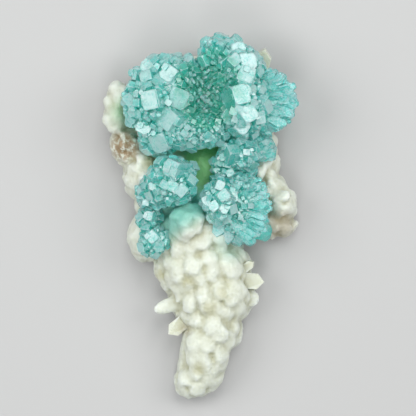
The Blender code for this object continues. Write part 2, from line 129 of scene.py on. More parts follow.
# %% Surround
world = bpy.data.worlds.new("studio")
world.use_nodes = True
surround = world.node_tree.nodes["Background"]
surround.inputs["Color"].default_value = (0.95, 0.98, 1.0, 1.0)
surround.inputs["Strength"].default_value = 0.52
bpy.context.scene.world = world
bpy.context.scene.view_settings.view_transform = "Standard"
print("surround", surround.inputs["Strength"].default_value)

# %% [markdown]
# Both minerals grow on rounded masses. An ellipsoid is enough for each mass, because crystals
# hide it. It knows where its surface is and which way that faces, for the planting.

# %% Massive lumps under the crystals
OUTERMOST = 0.96  # how far from a lump's middle its top is asked for, in radii
TINY = 1e-6


class Lump:
    """An ellipsoid of massive mineral. Pull is how far its crystals follow the druse's seed, and
    grain how large they are."""

    def __init__(self, x, y, z, rx, ry, rz, pull=0.6, grain=1.0):
        self.centre = Vector((x, y, z))
        self.radii = Vector((rx, ry, rz))
        self.pull = pull
        self.grain = grain

    def holds(self, point, margin=0.0):
        local = point - self.centre
        return sum((local[i] / max(self.radii[i] - margin, 0.1)) ** 2 for i in range(3)) < 1

    def normal(self, point):
        local = point - self.centre
        return Vector(local[i] / self.radii[i] ** 2 for i in range(3)).normalized()

    def surface(self, direction):
        return self.centre + Vector(direction[i] * self.radii[i] for i in range(3))

    def top_at(self, x, y):
        """The upper surface over a place in plan, or near the lump's rim for a place outside it."""
        across = Vector(((x - self.centre.x) / self.radii.x, (y - self.centre.y) / self.radii.y))
        if across.length > OUTERMOST:
            across *= OUTERMOST / across.length
        return self.surface(Vector((across.x, across.y, math.sqrt(1 - across.length_squared))))

    def height_of(self, points):
        """How far each point of an array lies outside the lump, roughly, in millimetres."""
        offset = points - np.array(self.centre)
        length = np.linalg.norm(offset / np.array(self.radii), axis=1)
        return (length - 1) * np.linalg.norm(offset, axis=1) / np.maximum(length, TINY)


def top_of(lumps, x, y):
    """The highest surface over a place in plan, and its lump."""
    tops = [(lump.top_at(x, y), lump) for lump in lumps]
    return max(tops, key=lambda pair: (-round((pair[0].xy - Vector((x, y))).length), pair[0].z))


# %% [markdown]
# A lump's mesh is a ball that is stretched and made a little uneven. Lumps are fused by Boolean
# steps, and so are whole groups of crystals at once, which takes seconds instead of minutes.

# %% Meshes and Boolean steps
LUMP_UNEVENNESS = 0.10
LUMP_DETAIL = 3  # subdivisions of the ball


def add_lump(bm, lump):
    for vert in bmesh.ops.create_icosphere(bm, subdivisions=LUMP_DETAIL, radius=1.0)["verts"]:
        direction = vert.co.normalized()
        uneven = 1 + LUMP_UNEVENNESS * noise.noise(direction * 1.7 + lump.centre * 0.31)
        reach = lump.radii * uneven
        vert.co = lump.centre + Vector(direction[i] * reach[i] for i in range(3))


def new_object(name, bm):
    """An object from a bmesh drawn in millimetres."""
    mesh = bpy.data.meshes.new(name)
    bmesh.ops.translate(bm, vec=SHIFT, verts=bm.verts)
    bmesh.ops.scale(bm, vec=(MM, MM, MM), verts=bm.verts)
    bm.to_mesh(mesh)
    bm.free()
    made = bpy.data.objects.new(name, mesh)
    bpy.context.scene.collection.objects.link(made)
    return made


def lump_object(name, lump):
    bm = bmesh.new()
    add_lump(bm, lump)
    return new_object(name, bm)


def apply_modifiers(thing):
    bpy.context.view_layer.update()
    graph = bpy.context.evaluated_depsgraph_get()
    result = bpy.data.meshes.new_from_object(thing.evaluated_get(graph))
    thing.modifiers.clear()
    old, thing.data = thing.data, result
    bpy.data.meshes.remove(old)


def combine(body, operation, other):
    """One Boolean step, applied. Neither mesh may have shells that overlap."""
    step = body.modifiers.new("step", "BOOLEAN")
    step.operation = operation
    step.solver = "MANIFOLD"
    step.object = other
    apply_modifiers(body)
    bpy.data.objects.remove(other, do_unlink=True)


def join_all(body, others):
    """One union with many meshes at once. No mesh may have shells that overlap."""
    pool = bpy.data.collections.new("pool")
    for other in others:
        pool.objects.link(other)
    step = body.modifiers.new("step", "BOOLEAN")
    step.operation = "UNION"
    step.solver = "MANIFOLD"
    step.operand_type = "COLLECTION"
    step.collection = pool
    apply_modifiers(body)
    bpy.data.collections.remove(pool)
    for other in others:
        bpy.data.objects.remove(other, do_unlink=True)


# %% [markdown]
# An apophyllite crystal is a square prism with a flat, pearly top, the basal face. Four pyramid
# faces cut the top's corners. A cube cut by four planes makes it, and a narrow bevel catches the
# light along its edges. A few such forms, each with its own cuts, are enough, because every
# crystal is also stretched and turned.

# %% The forms of an apophyllite crystal
PYRAMID_SLOPE = 1.25
FOOT = -4.0  # a form's foot, in half widths below its top


def cut_away(bm, place, normal):
    """Removes what lies beyond a plane, and returns the edges of the cut."""
    everything = bm.verts[:] + bm.edges[:] + bm.faces[:]
    cut = bmesh.ops.bisect_plane(bm, geom=everything, plane_co=place, plane_no=normal, clear_outer=True)
    return [edge for edge in cut["geom_cut"] if isinstance(edge, bmesh.types.BMEdge)]


def cut_face(bm, place, normal):
    """Cuts a new flat face on a form."""
    rim = cut_away(bm, place, normal)
    if rim:
        bmesh.ops.contextual_create(bm, geom=rim)


def crystal_form(chance, bluntness, bevel=0.0):
    """A form 2 wide with its top at 0, as a bmesh."""
    bm = bmesh.new()
    bmesh.ops.create_cube(bm, size=2.0)
    bmesh.ops.scale(bm, vec=(1, chance.uniform(0.85, 1.0), -FOOT / 2), verts=bm.verts)
    bmesh.ops.translate(bm, vec=(0, 0, FOOT / 2), verts=bm.verts)
    for quarter in range(4):
        angle = math.radians(45 + 90 * quarter)
        normal = Vector((math.cos(angle), math.sin(angle), 1 / PYRAMID_SLOPE)).normalized()
        corner = Vector((math.copysign(1, normal.x), math.copysign(1, normal.y), 0))
        cut_face(bm, normal * (normal.dot(corner) - bluntness * chance.uniform(0.8, 1.2)), normal)
    if bevel:
        sharp = [edge for edge in bm.edges if max(vert.co.z for vert in edge.verts) > FOOT + 0.1]
        bmesh.ops.bevel(bm, geom=sharp, offset=bevel, segments=1, profile=0.5, affect="EDGES", material=-1)
    bmesh.ops.recalc_face_normals(bm, faces=bm.faces)
    return bm


RIM_AREA = 0.2  # a smaller face is part of a bevelled rim


class Form:
    """A form's points and faces, each face's share of the basal lustre, and if it's a rim."""

    def __init__(self, bm):
        bm.verts.ensure_lookup_table()
        self.points = np.array([vert.co for vert in bm.verts])
        self.faces = [[vert.index for vert in face.verts] for face in bm.faces]
        self.lustre = [max(face.normal.z, 0.0) ** 3 for face in bm.faces]
        self.rims = [face.calc_area() < RIM_AREA for face in bm.faces]
        bm.free()


form_chance = random.Random("forms")
SQUARES = [Form(crystal_form(form_chance, form_chance.uniform(0.12, 0.3), bevel=0.06)) for _ in range(7)]
PYRAMIDS = [Form(crystal_form(form_chance, form_chance.uniform(0.7, 0.95), bevel=0.05)) for _ in range(5)]
BLOCKS = SQUARES + PYRAMIDS
POINTS = [Form(crystal_form(form_chance, 0.85)) for _ in range(6)]
GRAINS = [Form(crystal_form(form_chance, 0.5)) for _ in range(6)]
print("faces of a block, a point and a grain:", [len(kind[0].faces) for kind in (BLOCKS, POINTS, GRAINS)])


# %% [markdown]
# Thousands of crystals become a few meshes at once, from arrays, because an operator for each would take
# minutes. Each face carries two values for the material: its lustre, and a tone of its own. Bevelled rims
# get a high tone instead, as a painted highlight. A Boolean step needs meshes without overlaps, so the
# crystals are first sorted into groups in which none touches another.

# %% Crystals to meshes
MOST_CRYSTALS = 6000
HALF_DIAGONAL = 1.42  # of a crystal's square, in half widths
SAFETY = 1.02
# Bevelled rims get this high tone, a painted highlight along the edges.
RIM_PAINTED_HIGHLIGHT = 1.2


class Crystal:
    """One crystal: where its top's middle is, which way it points, and its form."""

    def __init__(self, point, way, width, length, forms, chance, spin=None, taper=1.0):
        self.point = point
        self.way = way
        self.half = width / 2
        self.length = length
        self.taper = taper
        self.form = chance.choice(forms)
        self.tone = chance.random()
        spin = chance.uniform(0, math.tau) if spin is None else spin
        self.place = way.to_track_quat("Z", "Y").to_matrix() @ Matrix.Rotation(spin, 3, "Z")
        self.balls = [np.array(point - way * length * share) for share in (1 / 6, 1 / 2, 5 / 6)]
        self.reach = math.hypot(length / 6, self.half * HALF_DIAGONAL) * SAFETY

    def points(self):
        drawn = self.form.points * self.half
        feet = self.form.points[:, 2] < FOOT + 0.5
        drawn[feet, 2] = -self.length
        drawn[feet, :2] *= self.taper
        return drawn @ np.array(self.place).T + np.array(self.point)


class Group:
    """Crystals that don't touch one another. Three balls stand for each in the test."""

    def __init__(self):
        self.crystals = []
        self.balls = np.empty((MOST_CRYSTALS, 1, 3))
        self.reaches = np.empty((MOST_CRYSTALS, 1))

    def takes(self, crystal):
        count = 3 * len(self.crystals)
        away = np.linalg.norm(self.balls[:count] - np.array(crystal.balls), axis=2)
        if np.any(away < self.reaches[:count] + crystal.reach):
            return False
        self.balls[count:count + 3, 0] = crystal.balls
        self.reaches[count:count + 3] = crystal.reach
        self.crystals.append(crystal)
        return True


def apart_groups(crystals):
    groups = []
    for crystal in crystals:
        if not any(group.takes(crystal) for group in groups):
            groups.append(Group())
            groups[-1].takes(crystal)
    return [group.crystals for group in groups]


def crystals_object(name, crystals):
    points, faces, lustre, tone = [], [], [], []
    for crystal in crystals:
        start = len(points)
        points.extend((crystal.points() + np.array(SHIFT)) * MM)
        faces.extend([start + corner for corner in face] for face in crystal.form.faces)
        lustre.extend(crystal.form.lustre)
        tones = random.Random(str(crystal.tone))
        tone.extend(RIM_PAINTED_HIGHLIGHT if rim else 0.5 * (crystal.tone + tones.random()) for rim in crystal.form.rims)
    mesh = bpy.data.meshes.new(name)
    mesh.from_pydata(points, [], faces)
    for label, values in (("lustre", lustre), ("tone", tone)):
        mesh.attributes.new(label, "FLOAT", "FACE").data.foreach_set("value", values)
    made = bpy.data.objects.new(name, mesh)
    bpy.context.scene.collection.objects.link(made)
    return made


# %% [markdown]
# The stilbite's own masses come first, because no apophyllite grows inside them.

# %% Where the stilbite is
MATRIX = [
    Lump(-1.0, 34.0, 3.0, 22.0, 15.0, 9.0),
    Lump(-9.0, 26.0, 2.0, 16.0, 13.0, 8.0),
    Lump(6.0, 22.0, 2.0, 17.0, 15.0, 8.0),
    Lump(-0.5, 8.0, 3.0, 19.0, 15.0, 11.0),
    Lump(8.0, 3.0, 2.0, 16.0, 9.0, 9.0),
    Lump(-24.8, 36.0, 6.0, 4.2, 5.6, 9.4),
    Lump(-25.4, 31.0, 6.0, 4.4, 6.0, 9.8),
    Lump(-22.0, 22.5, 4.5, 4.2, 6.2, 8.5),
    Lump(-17.4, 14.0, 5.0, 5.4, 8.4, 10.0),
    Lump(-16.6, -6.0, 4.0, 4.6, 6.6, 9.0),
    Lump(19.0, 15.0, 5.5, 4.2, 4.2, 8.0),
    Lump(21.0, 8.0, 4.5, 4.8, 5.4, 8.0),
    Lump(25.0, 4.4, 5.0, 3.8, 5.0, 9.0),
    Lump(23.4, -1.6, 3.5, 5.0, 4.0, 6.5),
    Lump(-1.0, -6.0, 5.0, 14.0, 10.5, 13.0),
    Lump(0.8, -15.0, 5.5, 14.0, 11.0, 12.0),
    Lump(3.2, -23.5, 5.5, 12.4, 11.0, 11.0),
    Lump(3.6, -31.5, 5.0, 8.8, 11.0, 10.0),
    Lump(1.6, -39.5, 5.0, 7.0, 10.0, 8.6),
    Lump(0.8, -46.0, 4.5, 6.6, 7.0, 7.0),
    Lump(-1.6, -50.0, 4.0, 5.2, 4.6, 5.6),
    Lump(-3.8, -1.6, 16.5, 5.0, 4.8, 6.6),
    Lump(1.6, 14.6, 7.0, 10.5, 8.6, 7.6),
]
print(len(MATRIX), "stilbite lumps")


# %% [markdown]
# A druse is a crust of crystals that grew from one place, its seed. Its crystals point between
# the ray from that seed and the surface's normal, so that they spread like the real ones and
# none lies flat. Some are turned instead to where they mirror a light to the camera.

# %% A druse
def half_way(azimuth, elevation):
    """The direction a face must have to mirror a light up to the camera."""
    return (towards(azimuth, elevation) + Vector((0, 0, 1))).normalized()


LEFT_GLINT = half_way(*LEFT_LIGHT)
RIGHT_GLINT = half_way(*RIGHT_LIGHT)


def scatter(chance, reach=1.0):
    """A random offset, up to the reach along each axis."""
    return Vector(chance.uniform(-reach, reach) for _ in range(3))


def any_direction(chance):
    return Vector(chance.gauss(0, 1) for _ in range(3)).normalized()


class Druse:
    """One apophyllite cluster: massive cores, bowls cut into them, and the crystals so far."""

    def __init__(self, name, seed, cores, bowls):
        self.name = name
        self.seed = Vector(seed)
        self.cores = [Lump(*core) for core in cores]
        self.bowls = [Lump(*bowl) for bowl in bowls]
        self.chance = random.Random(name)
        self.crystals = []
        self.feet = np.empty((MOST_CRYSTALS, 3))
        self.widths = np.empty(MOST_CRYSTALS)

    def note(self, crystal, foot):
        self.feet[len(self.crystals)] = foot
        self.widths[len(self.crystals)] = crystal.half * 2
        self.crystals.append(crystal)

    def add(self, top, foot, way, width, length, forms, spin=None, taper=1.0):
        """Plants a crystal. Neighbours turn alike about their axes, as in parallel growth."""
        if spin is None:
            spin = 3.0 * noise.noise(Vector(foot) * 0.1) + self.chance.uniform(-0.25, 0.25)
        self.note(Crystal(top, way, width, length, forms, self.chance, spin, taper), foot)

    def leaning(self, point, normal, pull, wobble):
        """A direction between the seed's ray and the surface's normal."""
        ray = (point - self.seed).normalized()
        unrest = scatter(self.chance) * wobble
        return (ray * pull + normal * (1 - pull) + unrest).normalized()

    def glinting(self, wobble, glint=None):
        """About the direction in which a top mirrors a softbox, the left or the right one."""
        glint = glint or self.chance.choice((LEFT_GLINT, RIGHT_GLINT))
        return (glint + scatter(self.chance, wobble)).normalized()

    def clearance(self, point, width):
        """How far a place is from the nearest crystal, less what that one is wider by."""
        count = len(self.crystals)
        away = np.linalg.norm(self.feet[:count] - np.array(point), axis=1)
        return float(np.min(away - np.maximum(self.widths[:count] - width, 0) * 0.5, initial=99.0))

    def shows(self, point, lump):
        """True if a place on a lump or bowl isn't inside another mass or in a bowl's open air."""
        if lump in self.bowls:
            return any(core.holds(point, 0.4) for core in self.cores)
        buried = any(core.holds(point, 0.4) for core in self.cores if core is not lump)
        hollowed = any(bowl.holds(point, -0.6) for bowl in self.bowls)
        in_matrix = any(part.holds(point, 0.3) for part in MATRIX)
        return not (buried or hollowed or in_matrix)


# %% [markdown]
# The large crystals show one by one in the photo, so each has a stated place. Real ones are
# stepped: smaller crystals in parallel growth stand beside and on them. Long crystals at the
# edges have a stated foot and tip.

# %% Plant the large crystals
STAND = (0.32, 0.58)  # how far a large crystal stands above its lump, in its widths
STEPS = 5
STEP_WIDTH = (0.28, 0.6)  # this and the next two are in the large crystal's widths too
STEP_ASIDE = (0.2, 0.42)
STEP_DOWN = (-0.09, 0.2)


def plant_step(druse, large, width):
    """A smaller crystal in parallel growth beside a large one."""
    chance = druse.chance
    across = large.place @ Vector((chance.uniform(-1, 1), chance.choice((-1, 1)), 0))
    aside = across * width * chance.uniform(*STEP_ASIDE)
    top = large.point + aside - large.way * width * chance.uniform(*STEP_DOWN)
    step = Crystal(top, large.way, width * chance.uniform(*STEP_WIDTH), large.length * 0.8, SQUARES, chance)
    step.place = large.place
    druse.note(step, top)


def plant_big(druse, places):
    """Large blocky crystals over stated places in plan: x, y, width and, for a bright one, its glint."""
    for x, y, width, *glint in places:
        point, core = top_of(druse.cores, x, y)
        way = druse.leaning(point, core.normal(point), 0.8, 0.22)
        if glint:
            way = druse.glinting(0.17, glint[0])
        top = Vector((x, y, point.z + way.z * width * druse.chance.uniform(*STAND)))
        druse.add(top, point, way, width, width * 1.6, SQUARES if glint else BLOCKS)
        large = druse.crystals[-1]
        large.tone = druse.chance.uniform(0.5, 1.2)
        for _ in range(STEPS):
            plant_step(druse, large, width)


def plant_slabs(druse, slabs):
    """Single long crystals from a stated foot to a stated tip."""
    for foot, tip, width in slabs:
        run = Vector(tip) - Vector(foot)
        druse.add(Vector(tip), Vector(tip), run.normalized(), width, run.length, POINTS, 0.0)


# %% [markdown]
# A fan is a sheaf of long crystals, the ribs, that leave one seed and end in a saw-toothed rim.
# Even rows alone would look like a comb, so scales at random lengths cover the top ones.

# %% Plant the fans
SCALES_PER_RIB = 12
UNDER_SCALES = 7  # degrees between the top ribs and the scales that cover them
TAPER = 0.7
Fan = namedtuple("Fan", "seed azimuths rises reach falloff width rows count")


def rib_end(fan, spread, rise, share):
    """The direction and the length of a rib, shorter by the falloff at the sides of the fan."""
    first, last = fan.azimuths
    length = fan.reach * (1 - fan.falloff * (2 * spread - 1) ** 2) * share
    return towards(first + (last - first) * spread, rise), length


def plant_ribs(druse, fan):
    chance = druse.chance
    lowest, highest = fan.rises
    for row in range(fan.rows):
        rise = lowest + (highest - UNDER_SCALES - lowest) * row / max(fan.rows - 1, 1)
        for place in range(fan.count):
            spread = (place + chance.uniform(-0.7, 0.7) + 0.5 * (row % 2)) / fan.count
            way, run = rib_end(fan, spread, rise + chance.uniform(-5, 3), chance.uniform(0.86, 1.04))
            width = fan.width * chance.uniform(0.6, 1.15)
            spin = chance.uniform(-0.25, 0.25)
            tip = Vector(fan.seed) + way * run
            druse.add(tip, tip, way, width, run * 0.3, POINTS, spin, TAPER)


def plant_scales(druse, fan):
    chance = druse.chance
    for _ in range(fan.count * SCALES_PER_RIB):
        spread = chance.random()
        way, run = rib_end(fan, spread, fan.rises[1] + chance.uniform(-9, 3), chance.uniform(0.4, 1.0))
        tip = Vector(fan.seed) + way * run
        tilt = (way + scatter(chance) * 0.16).normalized()
        width = fan.width * chance.uniform(0.6, 1.1)
        druse.add(tip, tip, tilt, width, 3.0 + run * 0.12, POINTS, None, TAPER)


# %% [markdown]
# What is still open gets crystals at random places, in layers from large to fine. A new one keeps its
# distance from those already there. In a hollow they are slimmer and point every way, and a few needles
# stick out of it, painted bright as glints.

# %% Plant the layers and the needles
LOWEST_FOOT = 5.0
UNDERSIDE = -0.9  # a lower direction from a lump's middle is its underside
FACES_UP = 0.35  # a normal's height above which its crystals may be turned to glint
SPARKLING = 0.22  # the share of those that are
IN_HOLLOW = (0.8, 0.3, 0.8, 0.5)  # spacing, pull to the seed's ray, wobble and width
NEEDLES_END = 26.0
NEEDLE_WIDTH = 0.75
NEEDLE_LENGTH = 3.6
# Needles get this high tone, painted glints.
NEEDLE_PAINTED_GLINT = 2.2


def plant_layer(druse, width, length, spacing, forms, tries):
    """Crystals over the open surface, no closer than the spacing."""
    chance = druse.chance
    for lump in druse.bowls + druse.cores:
        hollow = lump in druse.bowls
        if lump.pull == 0 or (hollow and width > 3):
            continue
        close, pull, wobble, slim = IN_HOLLOW if hollow else (1.0, lump.pull, 0.25, 1.0)
        for _ in range(tries):
            direction = any_direction(chance)
            point = lump.surface(direction)
            underside = direction.z < UNDERSIDE and not hollow
            if point.z < LOWEST_FOOT or underside or not druse.shows(point, lump):
                continue
            if druse.clearance(point, width) < spacing * lump.grain * close:
                continue
            size = chance.uniform(0.7, 1.3) * lump.grain
            normal = -lump.normal(point) if hollow else lump.normal(point)
            way = druse.leaning(point, normal, pull, wobble)
            if not hollow and normal.z > FACES_UP and chance.random() < SPARKLING:
                way = druse.glinting(0.1)
            stand = length * size * chance.uniform(0.3, 0.5)
            druse.add(point + way * stand, point, way, width * size * slim, length * size, forms)


def plant_needles(druse, tries):
    """Thin crystals that stick out every way in a hollow, painted bright as glints."""
    chance = druse.chance
    for bowl in druse.bowls:
        for _ in range(tries):
            point = bowl.surface(any_direction(chance))
            if point.z > NEEDLES_END or not druse.shows(point, bowl):
                continue
            way = (scatter(chance) + Vector((0, 0, 1.4))).normalized()
            top = point + way * chance.uniform(2.2, 3.4)
            druse.add(top, point, way, NEEDLE_WIDTH, NEEDLE_LENGTH, POINTS)
            druse.crystals[-1].tone = NEEDLE_PAINTED_GLINT


def grow_druse(name, seed, cores, big, bowls=(), layers=(), fans=(), slabs=(), needles=0):
    """Plants a druse in the order it would be seen, the finest crystals last."""
    druse = Druse(name, seed, cores, bowls)
    plant_big(druse, big)
    plant_slabs(druse, slabs)
    for fan in fans:
        plant_ribs(druse, fan)
        plant_scales(druse, fan)
    for layer in layers:
        plant_layer(druse, *layer)
    plant_needles(druse, needles)
    print(name, len(druse.crystals), "crystals")
    return druse


# %% [markdown]
# Cores and crystals are fused, so that each druse is one closed mesh without inner walls, which clear
# material would show. Every point then notes how far it stands above the cores and how deep it lies in a
# hollow, for the colour. The material paints higher points paler as painted light, and paints low places
# and the hollow deeper green as painted shade.

# %% Fuse a druse
# The hollow's painted shade fades out over this rim.
HOLLOW_RIM = 2.0  # millimetres over which a hollow's colour fades out


def fused_body(druse):
    """Cores, less the bowls, and all crystals, fused into one closed mesh."""
    fused = lump_object(druse.name, druse.cores[0])
    for core in druse.cores[1:]:
        combine(fused, "UNION", lump_object("core", core))
    for bowl in druse.bowls:
        combine(fused, "DIFFERENCE", lump_object("bowl", bowl))
    for label in ("lustre", "tone"):
        fused.data.attributes.new(label, "FLOAT", "FACE")
    groups = apart_groups(druse.crystals)
    join_all(fused, [crystals_object("group", group) for group in groups])
    mark_heights(druse, fused)
    print(druse.name, len(groups), "groups", len(fused.data.polygons), "faces")
    return fused


def mark_heights(druse, fused):
    points = np.empty(len(fused.data.vertices) * 3)
    fused.data.vertices.foreach_get("co", points)
    points = points.reshape(-1, 3) / MM - np.array(SHIFT)
    height = np.min([core.height_of(points) for core in druse.cores], axis=0)
    hollow = np.zeros(len(points))
    for bowl in druse.bowls:
        outside = bowl.height_of(points)
        hollow = np.maximum(hollow, np.clip(1 - outside / HOLLOW_RIM, 0, 1))
        height = np.where(outside < 1.5, np.clip(0.5 - outside, 0, 3), height)
    fused.data.attributes.new("height", "FLOAT", "POINT").data.foreach_set("value", height)
    fused.data.attributes.new("hollow", "FLOAT", "POINT").data.foreach_set("value", hollow)


# %% [markdown]
# The upper rosette is a horseshoe of blocky crystals around a deep hollow, with a fan for its
# right wing and a knob at its upper edge. All places and widths here are millimetres in the
# drawing, read off the photo.

# %% The upper rosette
ROSETTE = grow_druse(
    "apophyllite_upper_rosette",
    seed=(1.0, 36.0, -12.0),
    cores=[
        (-13.2, 35.0, 19.0, 8.8, 8.6, 9.5, 0.65),
        (-9.5, 42.6, 17.5, 8.0, 5.2, 8.0, 0.45),
        (-3.0, 26.8, 18.0, 12.0, 5.2, 8.0, 0.5, 0.7),
        (-12.6, 24.6, 16.0, 4.8, 4.4, 7.5, 0.5),
        (13.6, 34.0, 19.0, 5.8, 9.0, 11.0, 0.65),
        (12.4, 44.0, 18.0, 5.6, 6.4, 9.6, 0.5),
        (6.2, 49.6, 15.5, 5.2, 4.2, 8.5, 0.3),
        (18.6, 35.2, 12.5, 6.4, 8.0, 7.0, 0),
        (2.4, 37.2, 12.0, 13.4, 9.8, 9.6, 0.6),
    ],
    bowls=[(2.4, 39.2, 27.5, 8.6, 12.0, 9.5)],
    needles=110,
    slabs=[
        ((-14.0, 38.0, 20.0), (-20.3, 45.2, 17.0), 3.4),
        ((-12.0, 40.0, 20.0), (-17.0, 46.8, 18.0), 3.2),
        ((-9.0, 40.0, 20.0), (-12.2, 49.2, 18.0), 3.4),
        ((-7.0, 40.0, 20.0), (-7.9, 49.0, 18.0), 3.0),
        ((-4.0, 40.0, 20.0), (-3.6, 49.8, 18.0), 2.8),
        ((3.0, 46.0, 18.0), (1.2, 54.6, 17.0), 3.0),
        ((6.0, 46.0, 18.0), (5.4, 55.4, 17.0), 3.4),
        ((8.0, 46.0, 18.0), (9.2, 54.2, 17.0), 3.0),
        ((10.0, 44.0, 18.0), (13.4, 52.6, 17.0), 3.2),
    ],
    big=[
        (-21.0, 35.5, 4.1, LEFT_GLINT),
        (-15.2, 35.0, 5.8, LEFT_GLINT),
        (-6.5, 35.5, 6.0),
        (-10.1, 29.5, 6.2, LEFT_GLINT),
        (-6.5, 31.2, 3.6),
        (-17.1, 27.5, 4.6, LEFT_GLINT),
        (-12.5, 22.0, 6.0),
        (-12.5, 41.3, 4.2),
        (-17.8, 40.1, 3.6),
        (-15.7, 45.2, 4.4, LEFT_GLINT),
        (-9.6, 43.3, 4.8),
        (-10.8, 47.6, 4.0),
        (-7.0, 47.1, 3.2),
        (-20.5, 43.4, 3.0),
        (-9.4, 39.4, 3.2),
        (-3.6, 48.0, 2.6),
        (-3.8, 31.2, 2.6),
        (1.8, 53.2, 3.4),
        (5.7, 53.4, 3.8),
        (8.6, 52.3, 3.4),
        (11.7, 50.4, 4.8, RIGHT_GLINT),
        (14.9, 46.7, 4.8, RIGHT_GLINT),
        (13.9, 42.6, 5.0, RIGHT_GLINT),
        (12.5, 36.8, 6.0, RIGHT_GLINT),
        (16.1, 38.4, 3.0),
        (16.3, 33.8, 2.6),
        (14.9, 30.9, 5.2, RIGHT_GLINT),
        (8.8, 30.4, 4.0),
        (12.9, 27.2, 4.2, RIGHT_GLINT),
    ],
    layers=[
        (3.1, 4.6, 2.5, BLOCKS, 500),
        (2.0, 4.2, 1.5, BLOCKS, 1500),
        (1.3, 3.8, 0.95, GRAINS, 3000),
    ],
    fans=[Fan(
        seed=(9.5, 36.0, 20.0),
        azimuths=(-46, 36),
        rises=(-42, 0),
        reach=20.0,
        falloff=0.24,
        width=2.0,
        rows=8,
        count=28,
    )],
)

# %% [markdown]
# The right fan grew between the two big rosettes. Its long crystals lie side by side, so their
# sides make a smooth green surface, and the large one at its corner has a sharp tip.

# %% The right fan
RIGHT_FAN = grow_druse(
    "apophyllite_right_fan",
    seed=(4.0, 10.0, 8.0),
    cores=[
        (12.0, 19.4, 15.0, 5.6, 4.6, 7.5, 0.6, 0.8),
        (7.7, 14.8, 13.0, 3.6, 4.4, 6.5, 0.5, 0.7),
        (17.6, 20.4, 11.0, 4.6, 3.4, 5.0, 0),
    ],
    big=[(10.4, 20.6, 4.0)],
    layers=[(3.0, 4.4, 2.5, BLOCKS, 300), (1.8, 3.2, 1.4, GRAINS, 800)],
    slabs=[
        ((10.0, 21.6, 13.0), (23.3, 20.0, 13.5), 6.4),
        ((11.0, 24.0, 12.0), (22.0, 24.4, 12.0), 5.0),
        ((8.0, 14.0, 14.0), (17.6, 14.6, 14.0), 4.6),
    ],
    fans=[Fan(
        seed=(7.0, 17.0, 16.0),
        azimuths=(4, 34),
        rises=(-38, 6),
        reach=16.2,
        falloff=0.05,
        width=2.2,
        rows=6,
        count=7,
    )],
)

# %% [markdown]
# The ball at the left of the valley is a plain one: blocky crystals all over two lumps.

# %% The lower left ball
LEFT_BALL = grow_druse(
    "apophyllite_lower_left_ball",
    seed=(-8.6, 10.0, 12.0),
    cores=[(-8.2, 10.8, 19.5, 6.4, 6.6, 7.4), (-13.8, 7.4, 14.5, 4.8, 4.2, 6.2)],
    big=[
        (-8.9, 14.6, 5.2, LEFT_GLINT),
        (-5.5, 8.0, 3.7),
        (-3.4, 14.4, 3.0),
        (-8.2, 9.2, 3.2),
        (-14.0, 9.2, 2.6, LEFT_GLINT),
    ],
    layers=[
        (2.9, 4.0, 2.3, BLOCKS, 300),
        (1.8, 3.0, 1.4, BLOCKS, 800),
        (1.1, 2.2, 0.95, GRAINS, 1200),
    ],
)

# %% [markdown]
# The lower right rosette is seen from its side. Blocky crystals cover its left, and the ribs of
# its broken half run down to the right, with long crystals along its lower edge.

# %% The lower right rosette
RIGHT_ROSETTE = grow_druse(
    "apophyllite_lower_right_rosette",
    seed=(5.0, 0.0, 6.0),
    cores=[
        (11.6, 2.6, 14.0, 7.4, 8.0, 7.5, 0.8, 0.6),
        (6.4, 5.0, 18.5, 4.6, 6.2, 8.0, 0.7),
        (12.4, 8.6, 14.0, 5.8, 4.2, 6.5, 0.6, 0.7),
    ],
    big=[
        (4.2, 3.4, 3.0, LEFT_GLINT),
        (7.0, 6.6, 3.6, LEFT_GLINT),
        (7.4, 2.6, 2.8, RIGHT_GLINT),
        (8.6, 9.8, 3.2),
    ],
    layers=[(2.8, 3.8, 2.2, BLOCKS, 300), (1.6, 3.0, 1.3, BLOCKS, 1000)],
    slabs=[
        ((9.0, -1.6, 12.0), (21.7, -5.2, 11.0), 5.4),
        ((7.0, -3.0, 12.0), (17.0, -7.2, 10.0), 4.8),
        ((5.6, -2.6, 12.0), (11.6, -8.6, 10.0), 4.6),
        ((10.0, -1.0, 16.0), (12.2, -8.6, 13.0), 4.8),
        ((8.0, -1.0, 17.5), (8.6, -8.0, 15.0), 3.6),
        ((6.0, -0.6, 18.0), (5.2, -6.4, 16.6), 3.6),
    ],
    fans=[Fan(
        seed=(4.6, 3.0, 19.0),
        azimuths=(-44, 38),
        rises=(-48, 4),
        reach=16.8,
        falloff=0.05,
        width=1.9,
        rows=8,
        count=22,
    )],
)

# %% [markdown]
# The smallest cluster sits low on the stilbite, at the lower left edge.

# %% The small left ball
SMALL_BALL = grow_druse(
    "apophyllite_small_left_ball",
    seed=(-13.0, -6.0, 8.0),
    cores=[(-13.8, -7.0, 13.5, 4.0, 3.8, 5.4), (-15.2, 0.0, 12.0, 3.0, 3.2, 5.0)],
    big=[(-14.6, -6.0, 3.4, LEFT_GLINT), (-12.4, -9.0, 3.0), (-15.6, 0.4, 2.8, LEFT_GLINT)],
    layers=[(2.4, 3.4, 2.0, BLOCKS, 300), (1.3, 2.2, 1.0, BLOCKS, 1000)],
)

# %% [markdown]
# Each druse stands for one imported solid, and its name here is that solid's.

# %% Fuse all druses
DRUSES = {
    "upper_rosette": ROSETTE,
    "right_fan": RIGHT_FAN,
    "lower_left_ball": LEFT_BALL,
    "lower_right_rosette": RIGHT_ROSETTE,
    "small_left_ball": SMALL_BALL,
}
druse_pieces = {node: fused_body(druse) for node, druse in DRUSES.items()}

# %% [markdown]
# Stilbite grows in sheaves of flat blades with round ends, which lie on one another like roof
# tiles and look like lobes here. The lobes that show one by one have stated places, and so have
# a few blades that stand out with sharp tips.

